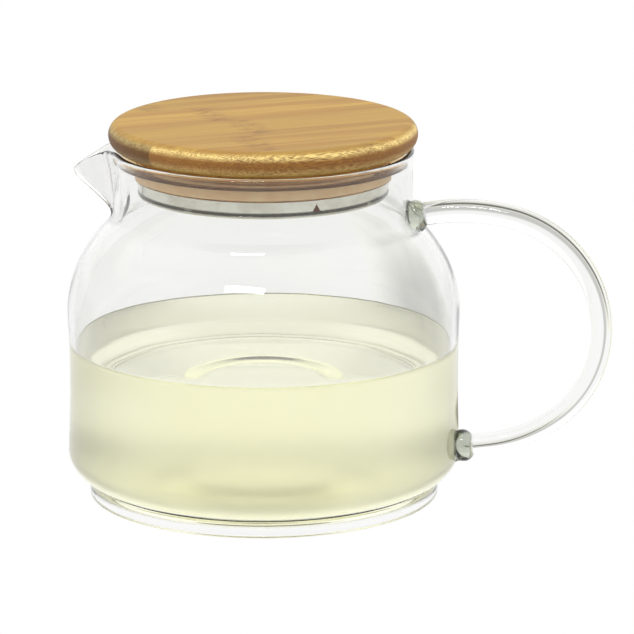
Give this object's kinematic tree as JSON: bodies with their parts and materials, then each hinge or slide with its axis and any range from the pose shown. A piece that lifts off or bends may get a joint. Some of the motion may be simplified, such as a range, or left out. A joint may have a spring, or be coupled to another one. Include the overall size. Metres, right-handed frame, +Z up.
{
  "type": "glass teapot",
  "caption": "Clear glass teapot with a footed belly, a pinched pouring lip, a glass rod handle and a bamboo lid that plugs into the neck with a silicone seal and a steel cup.",
  "frame": {"origin": "centre of the ring that the foot rests on", "axes": "+Z up along the pot's axis, +X towards the handle, -X towards the pouring lip"},
  "size_m": [0.1684, 0.121, 0.1165],
  "materials": {
    "clear_glass": "clear, fire-polished",
    "green_tea": "clear pale yellow-green liquid",
    "bamboo": "satin, oiled",
    "bamboo_plug": "satin, end grain",
    "stainless": "satin",
    "silicone": "milky, matt"
  },
  "bodies": {
    "pot": {"glass_body": "clear_glass", "handle_rod": "clear_glass", "upper_handle_weld": "clear_glass", "lower_handle_weld": "clear_glass", "tea": "green_tea"},
    "seal": {"seal_ring": "silicone"},
    "lid": {"lid_strip_1": "bamboo", "lid_strip_2": "bamboo", "lid_strip_3": "bamboo", "lid_strip_4": "bamboo", "lid_strip_5": "bamboo", "lid_plug": "bamboo_plug", "steel_cup": "stainless"}
  },
  "joints": [
    {"name": "lid_lift", "type": "slide", "parent": "pot", "child": "seal", "axis": [0, 0, 1], "range_m": [0, 0.06]},
    {"name": "lid_turn", "type": "hinge", "parent": "seal", "child": "lid", "pos_m": [0, 0, 0.1], "axis": [0, 0, 1], "continuous": true}
  ]
}
